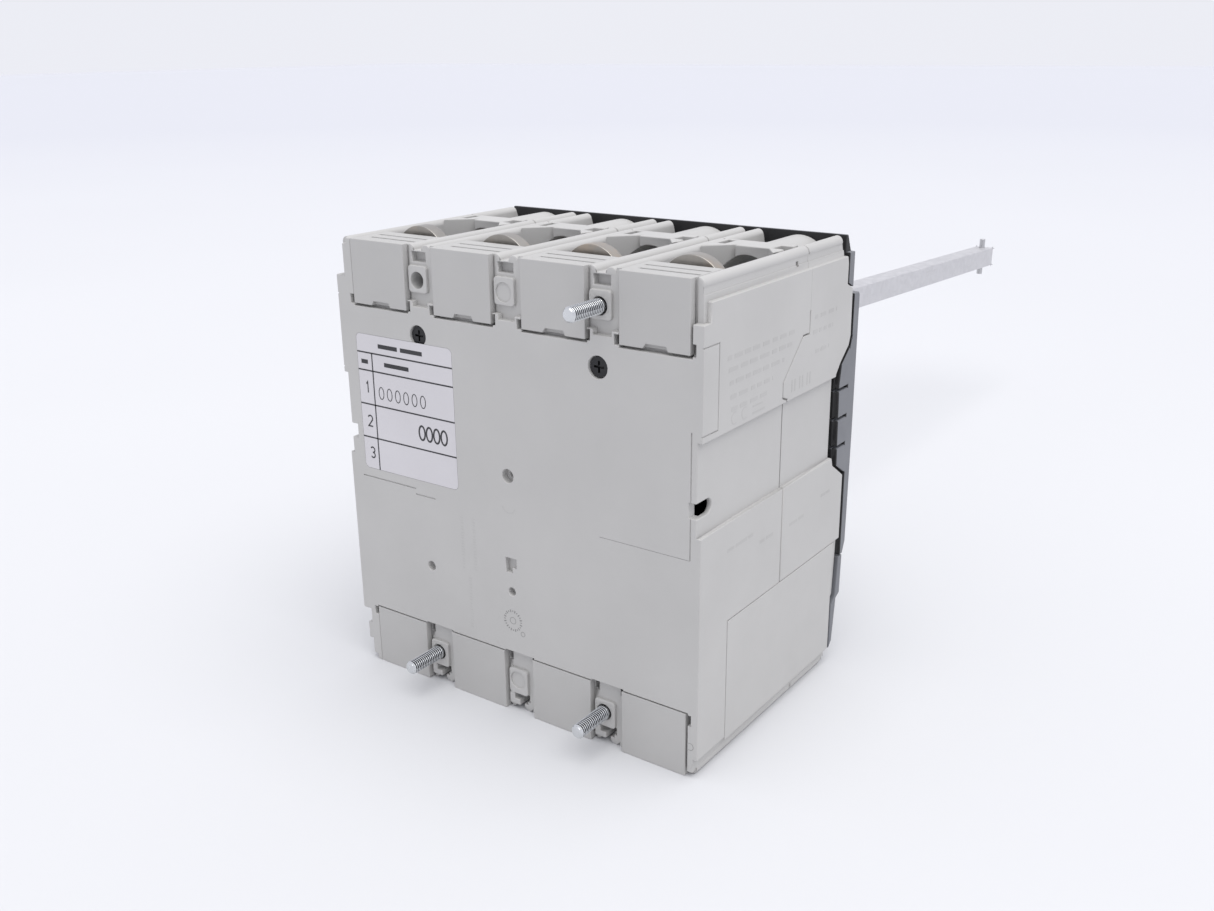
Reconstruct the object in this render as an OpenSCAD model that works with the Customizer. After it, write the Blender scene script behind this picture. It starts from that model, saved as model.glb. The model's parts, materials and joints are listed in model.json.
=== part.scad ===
// Four-pole moulded-case air circuit breaker with a rotary drive and a square door-coupling shaft.
// X runs across the poles, Z up, and the front faces -Y. The origin is the centre of the fixing
// pattern on the rear plane. Depths are counted from the rear plane towards the front.

/* [Housing] */
// Distance between pole centres
pole_pitch = 30; // [29.6:0.2:30.6]
// Height from the bottom face to the top face
body_h = 130; // [129:0.5:132]
// Thickness of the rear wall behind the poles
rear_wall = 3; // [2.4:0.2:3.4]
// Depth of the joint between base and cover beside the poles
seam_d = 42.4; // [42:0.1:42.6]
// Depth of the joint between base and cover at the terminals
end_seam_d = 54; // [53.6:0.1:54.4]
// Depth of the cover's front edge at the terminals
cover_d = 76.5; // [76:0.1:76.8]
// Depth of the front mask's face
mask_d = 85; // [84.5:0.1:85]
// Clear width of a terminal bay
bay_w = 21; // [20.6:0.1:21]
// Clear width of a pole cell
cell_w = 24.4; // [24:0.1:24.6]

/* [Fixing] */
// Spacing of the fixing holes across the poles
fix_w = 60; // [59.6:0.2:60.4]
// Spacing of the fixing holes up the body
fix_h = 111; // [110:0.5:112]
// Diameter of the fixing screws
fix_screw_dia = 4; // [3.6:0.1:4]
// Diameter of the fixing holes
fix_hole_dia = 4.5; // [4.3:0.1:4.6]
// Length of fixing screw that stands out behind the rear plane
fix_screw_out = 11.4; // [8:0.5:16]

/* [Terminals] */
// Thickness of a terminal bar
bar_t = 4; // [3.4:0.1:4]
// Width of a terminal bar inside its pole
bar_w = 16; // [12:0.5:16]
// Radius of a terminal bar's round end
bar_end_r = 9.4; // [9:0.1:9.6]
// Diameter of a terminal screw's thread
terminal_screw_dia = 8; // [7:0.5:8]

/* [Switching] */
// Radius of an insulating rotor drum
drum_r = 10; // [9:0.2:10]
// Air gap left between closed contact faces
contact_gap = 0.3; // [0.25:0.05:0.4]

/* [Rotary drive] */
// Height of the drive axis above the fixing pattern's centre
hub_z = 16.5; // [16:0.5:17.5]
// Radius of the crank pin's circle
crank_r = 12; // [11.5:0.1:12]
// Distance from the toggle's pivot to its contact with the slide plate
toggle_reach = 38.5; // [38:0.1:39]
// Width of the square shaft
shaft_w = 9.4; // [9:0.1:9.5]
// Length of the square shaft
shaft_len = 315; // [120:5:400]
// Downward lean of the loose shaft in its socket
shaft_lean_deg = 2.4; // [1.8:0.1:2.4]
// Length of the cross pin through the shaft's free end
cross_pin_len = 18.5; // [16:0.5:22]

/* [Hidden] */
$fn = 48;
eps = 0.01;
poles = [for (i = [0:3]) (1.5 - i) * pole_pitch];
walls_x = [for (i = [0:2]) (1 - i) * pole_pitch];
body_w = 4 * pole_pitch;
half_w = body_w / 2;
half_h = body_h / 2;
fix_x = fix_w / 2;
fix_z = fix_h / 2;
mech_x = poles[1];

// Heights of the main zones, counted from the centre
cell_z = 37;
bay_floor_z = 43;
recess_low_z = 2.2;
recess_high_z = 26.2;
recess_in = 1.3;

// Terminals
screw_z = 55;
bar_d = 18.5;
top_end_z = 57.3;
bottom_end_z = 54.4;
bulkhead_d = 45.6;
tunnel_r = 7.6;
tunnel_wall = 1.4;
insert_d = 16.2;
plate_t = 2.2;
plate_right = 11.3;
plate_left = 8.6;
plate_gap = 0.6;

// Rotor and contacts
rotor_d = 32;
rotor_z = 6;
rotor_shaft_r = 5;
bridge_lean_deg = 24;
bridge_t = 4.5;
bridge_w = 5;
bridge_half = 20;
fixed_contact_d = bar_d + bar_t;

// Drive train
toggle_d = mask_d + 3.5 - toggle_reach;
crank_rest_deg = 45;
slide_up = crank_r * sin(crank_rest_deg);
toggle_swing_deg = asin(slide_up / toggle_reach);
crank_x = mech_x - crank_r * cos(crank_rest_deg);
slide_d = 94;
slide_t = 2;
drive_front_d = 119;
socket_w = shaft_w + 1.2;
socket_mid_d = 113;

// Trip button
button_x = -22;
button_z = 8;
trip_bar_d = 62;
trip_bar_z = -14;

light_grey = [0.76, 0.76, 0.75];
dark_grey = [0.22, 0.23, 0.25];
black_plastic = [0.08, 0.08, 0.09];
copper = [0.72, 0.45, 0.3];
tin = [0.62, 0.6, 0.55];
zinc = [0.78, 0.79, 0.8];
steel = [0.55, 0.56, 0.58];
fibre = [0.72, 0.6, 0.42];

// Box between two x positions, two depths and two heights
module slab(x0, x1, d0, d1, z0, z1) {
    translate([x0, -d1, z0]) cube([x1 - x0, d1 - d0, z1 - z0]);
}

// Round bar between two depths, its axis along Y
module rod_y(x, z, r, d0, d1) {
    translate([x, -d1, z]) rotate([-90, 0, 0]) cylinder(r = r, h = d1 - d0);
}

// Round bar between two x positions, its axis along X
module rod_x(d, z, r, x0, x1) {
    translate([x0, -d, z]) rotate([0, 90, 0]) cylinder(r = r, h = x1 - x0);
}

// Outline in depth and height, drawn out between two x positions
module across(x0, x1) {
    mirror([0, 1, 0]) translate([x0, 0, 0]) rotate([90, 0, 90]) linear_extrude(x1 - x0) children();
}

// Outline in x and depth, drawn out between two heights
module upright(z0, z1) {
    mirror([0, 1, 0]) translate([0, 0, z0]) linear_extrude(z1 - z0) children();
}

// Outline in x and height, drawn out between two depths
module facing(d0, d1) {
    translate([0, -d0, 0]) rotate([90, 0, 0]) linear_extrude(d1 - d0) children();
}

module both_ends() {
    children();
    mirror([0, 0, 1]) children();
}

module both_sides() {
    children();
    mirror([1, 0, 0]) children();
}

// Rectangle with round corners, centred
module rounded_rect(w, h, r) {
    square([w, h - 2 * r], center = true);
    square([w - 2 * r, h], center = true);
    for (x = [-1, 1], z = [-1, 1])
        translate([x * (w / 2 - r), z * (h / 2 - r)]) circle(r);
}

// ---- Housing ----

// Stepped joint between base and cover, from the top down
function joint_line() = [
    [end_seam_d, half_h], [end_seam_d, half_h - 22.8], [end_seam_d - 3.6, half_h - 22.8],
    [seam_d - 2.4, half_h - 33], [seam_d - 2.4, half_h - 37.2], [seam_d, half_h - 38.2],
    [seam_d, 38 - half_h], [end_seam_d, 28 - half_h], [end_seam_d, -half_h]];

// Side outline of the base
function base_outline() = concat([[0, -half_h], [0, half_h]], joint_line());

// Band of even width along a line of points
module line_band(points, width) {
    for (i = [1:len(points) - 1]) {
        along = (points[i] - points[i - 1]) / norm(points[i] - points[i - 1]) * width / 2;
        aside = [-along[1], along[0]];
        polygon([points[i - 1] - along + aside, points[i] + along + aside,
            points[i] + along - aside, points[i - 1] - along - aside]);
    }
}

// Front edge of the cover, from the top down
function cover_front() = [
    [cover_d - 1.7, half_h - 2], [cover_d, half_h - 7.5], [cover_d, half_h - 13.3],
    [80, half_h - 15], [80.3, half_h - 28.5], [79.3, half_h - 31.2], [74.6, half_h - 35.1],
    [72, half_h - 38.2], [72, recess_low_z], [72.8, -0.3], [80, -5.1], [80, 39.7 - half_h],
    [79, 21.5 - half_h], [cover_d - 0.8, 18.8 - half_h], [cover_d, 4 - half_h], [cover_d, -half_h]];

// Ridges along the top of the rails between and beside the bays
ridge_r = 1.6;
module rail_ridges(d0, d1) {
    for (x = poles, side = [-1, 1])
        rod_y(x + side * (bay_w / 2 + ridge_r), half_h - ridge_r, ridge_r, d0, d1);
}

// Cuts that bring the rails down to the level the ridges stand on, and the stepped bands beside them
band_in = 1.3;
band_z = 59.4;
module rail_cuts() {
    rail_half = pole_pitch / 2 - bay_w / 2;
    for (x = concat(walls_x, [half_w, -half_w]))
        slab(x - rail_half - eps, x + rail_half + eps, -1, 90, half_h - ridge_r, half_h + 1);
    both_sides() {
        slab(half_w - band_in, half_w + 1, -1, 90, band_z, half_h + 1);
        slab(half_w - band_in - 0.25, half_w + 1, -1, 90, band_z + 1.6, half_h + 1);
    }
}

// Shallow recess and finger slot in both sides
module side_recesses() {
    both_sides() {
        slab(half_w - recess_in, half_w + 1, -1, 90, recess_low_z, recess_high_z);
        slab(half_w - 3.6, half_w + 1, -1, 5, 7, 11);
        rod_x(5, 9, 2, half_w - 3.6, half_w + 1);
    }
}

// Recesses that the flush side panels fill
panel_in = 1;
panel_d0 = 14;
panel_low_z = 4.6;
panel_high_z = 39.8;
module panel_recesses() {
    both_sides()
        slab(half_w - panel_in, half_w + 1, panel_d0, 90, panel_low_z - half_h, panel_high_z - half_h);
}

// Narrow groove that marks the joint between base and cover on both sides
joint_groove_w = 0.45;
joint_groove_in = 1;
module joint_grooves() {
    visible = concat([[end_seam_d, half_h - 17]], [for (i = [1:5]) joint_line()[i]],
        [[seam_d, panel_high_z - half_h]]);
    both_sides() {
        across(half_w - joint_groove_in, half_w + 1) line_band(visible, joint_groove_w);
        across(half_w - recess_in - joint_groove_in, half_w)
            line_band([[seam_d, recess_high_z - 0.2], [seam_d, recess_low_z + 0.2]], joint_groove_w);
    }
}

// Outline of a terminal bay seen from above, relative to its pole
function bay_outline() = [
    [-bay_w / 2, plate_t - 0.1], [bay_w / 2, plate_t - 0.1], [bay_w / 2, 40],
    [3.4, bulkhead_d + 2], [3.4, bulkhead_d], [-6.5, bulkhead_d], [-bay_w / 2, 40.4]];

// Pocket for the rear plate of one insert, with a gap on its right and inner sides
module plate_cut() {
    slab(-plate_right - plate_gap, plate_left + 0.1, -1, plate_t + 0.2, 46.3, half_h + 1);
}

// Terminal bay of one pole at the top end, as a cutting shape
module bay_cut(x) {
    translate([x, 0, 0]) {
        upright(bay_floor_z, half_h + 1) polygon(bay_outline());
        plate_cut();
        slab(plate_left - eps, plate_left + 1.5, -1, 6, 46.9, 49.4);
        slab(-plate_right - 1.5, -plate_right, -1, 6, 46.9, 49.8);
        slab(7, 9.6, -eps + bulkhead_d + 0.9, 53, 58, half_h + 1);
        slab(-bay_w / 2 - 0.9, -7, bulkhead_d + 0.6, 51.5, 58, half_h + 1);
        rod_y(0, screw_z, tunnel_r, 40, 60);
        slab(-bar_w / 2 - 0.4, bar_w / 2 + 0.4, bar_d - 0.4, bar_d + bar_t + 0.4,
            cell_z - 1, bay_floor_z + 1);
    }
}

// Slot for a label holder near the top of a column
module keeper_slot(x) {
    slab(x - 2.7, x + 2.2, -1, 4, 60.4, 63);
}

// Column between two poles at the top end: recess, raised boss, keeper slot
boss_w = 6.6;
boss_h = 7.4;
module column_cut(x) {
    difference() {
        union() {
            slab(x - 6.3, x + 3.1, -1, 2, 50, half_h + 1);
            slab(x - 4.2, x + 1.2, -1, 2, 48.6, 50 + eps);
            keeper_slot(x);
        }
        translate([x - 0.2, 0, fix_z + 0.3]) facing(1, 3) rounded_rect(boss_w, boss_h, 1);
    }
}

// Column between two poles at the bottom end, with its hooked opening
module bottom_column_cut(x) {
    difference() {
        slab(x - 6.9, x + 3.1, -1, 2, -half_h - 1, 19 - half_h);
        translate([x - 0.2, 0, -fix_z - 0.4]) facing(1, 3) rounded_rect(boss_w, boss_h + 0.6, 1);
        slab(x - 3.5, x + 3.1, 1, 3, -half_h, 5 - half_h);
    }
    slab(x - 3.5, x + 1.3, -1, 8, 3.4 - half_h, 5.2 - half_h);
    slab(x - 3.5, x - 0.6, -1, 8, -half_h - 1, 3.4 - half_h + eps);
}

// Through holes and counterbores for the four fixing screws
module fixing_holes(r) {
    for (x = [-fix_x, fix_x], z = [-fix_z, fix_z]) rod_y(x, z, r, -1, 70);
}

// Opening through every pole wall for the rotor's shaft
module rotor_way(r, d1) {
    rod_x(rotor_d, rotor_z, r, -half_w + rear_wall, half_w - rear_wall);
    slab(-half_w + rear_wall, half_w - rear_wall, rotor_d, d1, rotor_z - r, rotor_z + r);
}

// Space for the trip unit across all the poles
module trip_unit_way(gap) {
    slab(-half_w + rear_wall - gap, half_w - rear_wall + gap, 46.4 - gap, 69 + gap, -36 - gap, -18 + gap);
}

label_x = 36;
label_z = 18.5;
label_w = 36;
label_h = 40;
label_t = 0.15;
module rear_details() {
    translate([label_x, 0, label_z])
        facing(-1, label_t + 0.02) rounded_rect(label_w + 0.2, label_h + 0.2, 1.6);
    both_ends() rod_y(0, fix_z, fix_hole_dia / 2 + 0.3, -1, 1.5);
    rod_y(0, 6.3, 1.9, -1, 2.2);
    rod_y(0, 6.3, 0.9, 2.2 - eps, rear_wall + 1);
    rod_y(fix_x, -27.3, 1.4, -1, 2);
    rod_y(0, -27.5, 1.2, -1, 2);
    slab(-1.8, 1.8, -1, 1.6, -20.2, -17.6);
    slab(-0.4, 1.8, -1, 1.6, -21.8, -20.2 + eps);
    groove = 0.3;
    slab(-half_w + rear_wall - groove / 2, -half_w + rear_wall + groove / 2, -1, groove, -4, 28.6);
    slab(-half_w + rear_wall, -fix_x, -1, groove / 2, -4 - groove / 2, -4);
    slab(34.4, 55.3, -1, groove, -4.2 - groove, -4.2);
    slab(27, 34.4, -1, groove, -5.9 - groove, -5.9);
    for (x = [-fix_x, fix_x]) {
        rod_y(x, case_screw_z, 2.9, -1, 1.8);
        rod_y(x, case_screw_z, 1.6, 1, 36);
    }
    both_sides() {
        slab(half_w - 3.1, half_w + 1, -1, 2, half_h - 10.5, half_h + 1);
        slab(half_w - band_in, half_w + 1, -1, 3.4, half_h - 10.5, half_h + 1);
        slab(half_w - groove, half_w + 1, -1, 7.3, 49, 49 + groove);
        slab(half_w - groove, half_w + 1, 7.3 - groove, 7.3, 28.1, 49);
        slab(half_w - groove, half_w + 1, -1, 7.3, 28.1 - groove, 28.1 + eps);
        slab(half_w - band_in - 1.2, half_w + 1, 47.4, 48.7, 60.4, 61.8);
    }
    slab(half_w - 3, half_w + 1, -1, 10, -half_h - 1, 6.5 - half_h);
    slab(half_w - 1.5, half_w + 1, -1, 10, 6.5 - half_h - eps, 12 - half_h);
    slab(half_w - 3, half_w + 1, -1, 10, 12 - half_h - eps, 16.5 - half_h);
}

case_screw_z = 40.5;
module base_housing() {
    color(light_grey) {
        difference() {
            across(-half_w, half_w) polygon(base_outline());
            for (x = poles) {
                slab(x - cell_w / 2, x + cell_w / 2, rear_wall, 90, -cell_z, cell_z);
                bay_cut(x);
                mirror([0, 0, 1]) bay_cut(x);
            }
            for (x = walls_x) {
                column_cut(x);
                bottom_column_cut(x);
            }
            both_ends() rail_cuts();
            side_recesses();
            joint_grooves();
            panel_recesses();
            fixing_holes(fix_hole_dia / 2);
            rotor_way(rotor_shaft_r + 0.3, 60);
            trip_unit_way(0.3);
            rear_details();
        }
        both_ends() difference() {
            rail_ridges(2, end_seam_d);
            for (x = poles) translate([x, 0, 0]) plate_cut();
            for (x = walls_x) keeper_slot(x);
        }
    }
}

// Tunnel that guides a screwdriver to one terminal screw
module driver_tunnel(x) {
    difference() {
        intersection() {
            rod_y(x, screw_z, tunnel_r + tunnel_wall, end_seam_d, cover_d);
            slab(x - bay_w / 2 - eps, x + bay_w / 2 + eps, 0, 90, bay_floor_z, half_h);
        }
        rod_y(x, screw_z, tunnel_r, 40, 90);
    }
    difference() {
        slab(x - bay_w / 2 - eps, x + bay_w / 2 + eps, end_seam_d, cover_d, bay_floor_z - eps, screw_z - 4);
        rod_y(x, screw_z, tunnel_r, 40, 90);
    }
}

toggle_slot_w = 17;
toggle_slot_h = 26;
module cover_housing() {
    color(light_grey) {
        difference() {
            across(-half_w, half_w) polygon(concat(
                [for (i = [len(joint_line()) - 1:-1:0]) joint_line()[i]],
                [[cover_d - 2.5, half_h]], cover_front()));
            for (x = poles) {
                slab(x - cell_w / 2, x + cell_w / 2, 0, 69.5, -cell_z, cell_z);
                both_ends() slab(x - bay_w / 2, x + bay_w / 2, 0, 90, bay_floor_z, half_h + 1);
            }
            both_ends() rail_cuts();
            side_recesses();
            joint_grooves();
            panel_recesses();
            for (x = [-fix_x, fix_x], z = [-fix_z, fix_z]) {
                rod_y(x, z, fix_hole_dia / 2 + 0.15, 40, 90);
                rod_y(x, z, 3.7, 62, 90);
            }
            trip_unit_way(0.3);
            slab(mech_x - toggle_slot_w / 2, mech_x + toggle_slot_w / 2, 60, 90,
                hub_z - toggle_slot_h / 2, hub_z + toggle_slot_h / 2);
            rod_y(button_x, button_z, 1.7, 60, 90);
            rod_x(trip_bar_d, trip_bar_z, 2.5, -half_w + rear_wall, half_w - rear_wall);
            slab(-half_w + rear_wall, half_w - rear_wall, seam_d - 5, trip_bar_d,
                trip_bar_z - 2.5, trip_bar_z + 2.5);
        }
        for (x = poles) both_ends() driver_tunnel(x);
        both_ends() rail_ridges(end_seam_d + joint_groove_w, cover_d - 2);
    }
}

// Dark plate over the cover's front, hollow behind
mask_top_z = 48.2;
mask_low_z = -31.2;
mask_relief = 1.2;
function mask_rear_edge() = [
    [80.4, mask_low_z], [80.4, -5.1], [74.4, -1.3], [74, 7], [73.4, 23.5], [74.4, 29.2],
    [79.8, 33.6], [80.6, 36], [80.6, mask_top_z]];
module front_mask() {
    color(dark_grey) difference() {
        across(-half_w, half_w) polygon(concat(mask_rear_edge(), [
            [mask_d - 0.6, mask_top_z], [mask_d, mask_top_z - 0.8], [mask_d, 7],
            [mask_d - 0.5, -27.5], [mask_d - 2, mask_low_z]]));
        both_sides() across(half_w - mask_relief, half_w + 1) line_band(mask_rear_edge(), 1.3);
        slab(-half_w + 3, half_w - 3, 70, mask_d - 2.5, 1, 26);
        slab(-half_w + 3, half_w - 3, 80, mask_d - 2.5, -28, 1 + eps);
        slab(-half_w + 3, half_w - 3, 80, mask_d - 2.5, 26 - eps, 45);
        for (z = [4.5, 13, 21.7]) both_sides() slab(half_w - 2, half_w + 1, 70, 80, z - 0.4, z + 0.4);
        slab(mech_x - 8.5, mech_x + 8.5, 60, 90, hub_z - 15, hub_z + 15);
        rod_y(button_x, button_z, 3.1, 60, 90);
        for (x = [-1, 1], z = [-1, 1])
            rod_y(mech_x + x * drive_screw_x, hub_z + z * drive_screw_z, 1.3, 60, 90);
    }
}

// Dark strip over the upper driver tunnels
strip_top_z = 64.9;
module mask_top_strip() {
    color(dark_grey) difference() {
        across(-half_w, half_w) polygon([
            [cover_d + 0.3, 51.9], [80.2, 50.3], [80.2, 60.2],
            [78, strip_top_z], [cover_d + 0.3, strip_top_z]]);
        for (x = poles) rod_y(x, screw_z + 0.6, tunnel_r - 1, 60, 90);
        for (x = [-fix_x, fix_x]) rod_y(x, fix_z, 3.9, 60, 90);
        both_sides() slab(half_w - band_in, half_w + 1, 60, 90, band_z + 0.8, half_h + 1);
    }
}

// Dark strip over the lower driver tunnels
module mask_bottom_strip() {
    color(dark_grey) difference() {
        across(-half_w, half_w) polygon([
            [80.3, mask_low_z - 0.3], [82.8, mask_low_z - 0.3], [82.4, -43.9], [80.2, -45],
            [78.6, -58.6], [cover_d + 0.3, -60.6], [cover_d + 0.3, -46.2], [79.3, -43.5]]);
        for (x = poles) rod_y(x, -screw_z + 1, tunnel_r - 2.4, 60, 90);
        for (x = [-fix_x, fix_x]) rod_y(x, -fix_z, 3.9, 60, 90);
    }
}

module side_panel() {
    gap = 0.15;
    slab(half_w - panel_in + 0.05, half_w, panel_d0 + gap, end_seam_d,
        panel_low_z - half_h + gap, panel_high_z - half_h - gap);
    slab(half_w - panel_in + 0.05, half_w, end_seam_d - eps, cover_d - 0.5,
        panel_low_z - half_h + gap, panel_high_z - half_h - gap);
}
module side_panel_left() { color(light_grey) side_panel(); }
module side_panel_right() { color(light_grey) mirror([1, 0, 0]) side_panel(); }

// Insulating insert behind a top terminal: rear plate, ribbed shelf and hollow block
module rear_insert_top(x) {
    color(light_grey) translate([x, 0, 0]) difference() {
        union() {
            slab(-plate_right, plate_left, 0, plate_t, 47, half_h);
            slab(-bay_w / 2 + 0.2, bay_w / 2 - 0.2, plate_t - eps, insert_d, 59, half_h - 0.4);
            slab(-bay_w / 2 + 0.3, plate_left - 0.2, plate_t - eps, insert_d, bay_floor_z + 0.1, 59 + eps);
        }
        slab(-7.6, 6, 5, insert_d + 1, bay_floor_z + 2.5, 56.5);
        rod_y(0, screw_z, terminal_screw_dia / 2 + 0.6, 5, insert_d + 1);
        facing(-1, 1.4) polygon([[-5.6, 46], [-4.6, 48.2], [1, 48.2], [2.6, 46]]);
        for (i = [0:2]) {
            slot_d = 1.6 + 4.6 * i;
            slab(-bay_w / 2 + 0.8, 5.8 + 1.4 * i, slot_d, slot_d + 1.1, 61, half_h + 1);
        }
    }
}

// Insulating insert behind a bottom terminal
module rear_insert_bottom(x) {
    color(light_grey) translate([x, 0, 0]) difference() {
        union() {
            slab(-plate_right, plate_left, 0, plate_t, -half_h, -46.7);
            slab(-bay_w / 2 + 0.2, bay_w / 2 - 0.2, plate_t - eps, insert_d, -half_h + 0.4, -59);
            slab(-bay_w / 2 + 0.3, plate_left - 0.2, plate_t - eps, insert_d, -59 - eps, -bay_floor_z - 0.1);
        }
        slab(-7.6, 6, 5, insert_d + 1, -56.5, -bay_floor_z - 2.5);
        rod_y(0, -screw_z, terminal_screw_dia / 2 + 0.6, 5, insert_d + 1);
    }
}
module rear_insert_top_1() { rear_insert_top(poles[0]); }
module rear_insert_top_2() { rear_insert_top(poles[1]); }
module rear_insert_top_3() { rear_insert_top(poles[2]); }
module rear_insert_top_4() { rear_insert_top(poles[3]); }
module rear_insert_bottom_1() { rear_insert_bottom(poles[0]); }
module rear_insert_bottom_2() { rear_insert_bottom(poles[1]); }
module rear_insert_bottom_3() { rear_insert_bottom(poles[2]); }
module rear_insert_bottom_4() { rear_insert_bottom(poles[3]); }

module identification_label() {
    color("white") translate([label_x, 0, label_z])
        facing(0, label_t) rounded_rect(label_w, label_h, 1.5);
}

// Cross-recess screw: head towards the rear, shank towards the front
module case_screw(x, z) {
    difference() {
        union() {
            rod_y(x, z, 2.6, 0.7, 1.8);
            rod_y(x, z, 1.5, 1.8 - eps, 34);
        }
        slab(x - 1.5, x + 1.5, 0, 1.4, z - 0.3, z + 0.3);
        slab(x - 0.3, x + 0.3, 0, 1.4, z - 1.5, z + 1.5);
    }
}
module case_screws() {
    color(black_plastic) for (x = [-fix_x, fix_x]) case_screw(x, case_screw_z);
}

// Long screws left in three of the four fixing holes: threaded end, reduced shank and socket head
fix_seat_d = 62;
thread_end_d = 0.8;
tip_chamfer = 0.5;
module fixing_screw(x, z) {
    thread_r = fix_screw_dia / 2;
    difference() {
        union() {
            translate([x, fix_screw_out, z]) rotate([90, 0, 0])
                cylinder(r1 = thread_r - tip_chamfer, r2 = thread_r, h = tip_chamfer);
            rod_y(x, z, thread_r, tip_chamfer - fix_screw_out, thread_end_d);
            rod_y(x, z, thread_r - 0.3, thread_end_d - eps, fix_seat_d + 1);
            rod_y(x, z, 3.5, fix_seat_d + 0.05, fix_seat_d + 3.6);
        }
        translate([x, -fix_seat_d - 4, z]) rotate([-90, 0, 0]) cylinder(r = 1.7, h = 2.4, $fn = 6);
    }
}
module fixing_screws() {
    color(zinc) {
        fixing_screw(-fix_x, fix_z);
        fixing_screw(-fix_x, -fix_z);
        fixing_screw(fix_x, -fix_z);
    }
}

// ---- Current path ----

pad_low_z = 19.5;
pad_high_z = 26;
fold_z = -31;

// Flat bar with a round end and a contact pad at the inner end
module terminal_top(x) {
    color(tin) difference() {
        union() {
            slab(x - bar_w / 2, x + bar_w / 2, bar_d, bar_d + bar_t, 19, top_end_z);
            rod_y(x, top_end_z, bar_end_r, bar_d, bar_d + bar_t);
            slab(x - 3, x + 3, bar_d + bar_t - eps, bar_d + bar_t + 2, pad_low_z, pad_high_z);
        }
        rod_y(x, screw_z, terminal_screw_dia / 2 + 0.1, 0, 30);
    }
}

// Bar from the lower fixed contact under the trip unit to the bottom terminal
module terminal_bottom(x) {
    low_d = 2 * rotor_d - fixed_contact_d;
    color(tin) difference() {
        union() {
            slab(x - 3, x + 3, low_d - 2, low_d + eps, 2 * rotor_z - pad_high_z, 2 * rotor_z - pad_low_z);
            slab(x - bar_w / 2, x + bar_w / 2, low_d, low_d + bar_t, fold_z, 2 * rotor_z - 19);
            slab(x - bar_w / 2, x + bar_w / 2, bar_d, low_d + bar_t, fold_z - bar_t, fold_z + eps);
            slab(x - bar_w / 2, x + bar_w / 2, bar_d, bar_d + bar_t, -bottom_end_z, fold_z + eps);
            rod_y(x, -bottom_end_z, bar_end_r, bar_d, bar_d + bar_t);
        }
        rod_y(x, -screw_z, terminal_screw_dia / 2 + 0.1, 0, 30);
    }
}
module terminal_top_1() { terminal_top(poles[0]); }
module terminal_top_2() { terminal_top(poles[1]); }
module terminal_top_3() { terminal_top(poles[2]); }
module terminal_top_4() { terminal_top(poles[3]); }
module terminal_bottom_1() { terminal_bottom(poles[0]); }
module terminal_bottom_2() { terminal_bottom(poles[1]); }
module terminal_bottom_3() { terminal_bottom(poles[2]); }
module terminal_bottom_4() { terminal_bottom(poles[3]); }

// Hexagon-socket terminal screws, heads towards the front
module terminal_screws() {
    head_d = bar_d + bar_t;
    color(zinc) for (x = poles, side = [-1, 1]) difference() {
        union() {
            rod_y(x, side * screw_z, terminal_screw_dia / 2, insert_d - 6, head_d + eps);
            rod_y(x, side * screw_z, 7, head_d, head_d + 1.4);
            rod_y(x, side * screw_z, 6.5, head_d + 1.4 - eps, head_d + 8);
        }
        translate([x, -head_d - 9, side * screw_z]) rotate([-90, 0, 0]) cylinder(r = 3.4, h = 5, $fn = 6);
    }
}

// Bar that leans across the rotor, cut to flat contact faces at both ends
module bridge_bar(x, w, t, half_len, face_d) {
    intersection() {
        translate([x, -rotor_d, rotor_z]) rotate([-bridge_lean_deg, 0, 0])
            cube([w, t, 2 * half_len], center = true);
        slab(x - w, x + w, rotor_d - face_d, rotor_d + face_d, -30, 40);
    }
}
bridge_face = rotor_d - fixed_contact_d - 2 - contact_gap;
module contact_bridge(x) {
    color(copper) bridge_bar(x, bridge_w, bridge_t, bridge_half, bridge_face);
}
module contact_bridge_1() { contact_bridge(poles[0]); }
module contact_bridge_2() { contact_bridge(poles[1]); }
module contact_bridge_3() { contact_bridge(poles[2]); }
module contact_bridge_4() { contact_bridge(poles[3]); }

// Insulating shaft with one drum per pole, slotted for the contact bridges
module rotor() {
    shaft_half = half_w - rear_wall - 0.4;
    color(black_plastic) difference() {
        union() {
            rod_x(rotor_d, rotor_z, rotor_shaft_r, -shaft_half, shaft_half);
            for (x = poles) rod_x(rotor_d, rotor_z, drum_r, x - 8, x + 8);
        }
        for (x = poles) bridge_bar(x, bridge_w + 0.2, bridge_t + 0.2, bridge_half, 30);
    }
}

// Steel deflector plates above and below the contact tips
module arc_plates(x) {
    color(steel) {
        for (i = [0:7]) arc_plate(x, 25.5 + 2.8 * i, 27.2, 36);
        for (i = [0:5]) arc_plate(x, 25 + 2.6 * i, 2 * rotor_z - 27.2, -24);
    }
}

// One plate with a throat facing the contact
module arc_plate(x, d, throat_z, back_z) {
    toward = sign(back_z - throat_z);
    facing(d, d + 1) polygon([
        [x - 9, throat_z], [x - 3.4, throat_z], [x - 1.2, throat_z + 4 * toward],
        [x + 1.2, throat_z + 4 * toward], [x + 3.4, throat_z], [x + 9, throat_z],
        [x + 9, back_z], [x - 9, back_z]]);
}
module arc_plates_1() { arc_plates(poles[0]); }
module arc_plates_2() { arc_plates(poles[1]); }
module arc_plates_3() { arc_plates(poles[2]); }
module arc_plates_4() { arc_plates(poles[3]); }

// Fibre side walls that hold the deflector plates
module arc_cheeks() {
    color(fibre) for (x = poles, side = [-1, 1]) {
        outer = x + side * 9.4;
        slab(outer - 0.4, outer + 0.4, 24.5, 47, 26.8, 36.3);
        slab(outer - 0.4, outer + 0.4, 24, 40, -24.3, 2 * rotor_z - 26.8);
    }
}

// ---- Operating mechanism and trip unit ----

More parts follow.
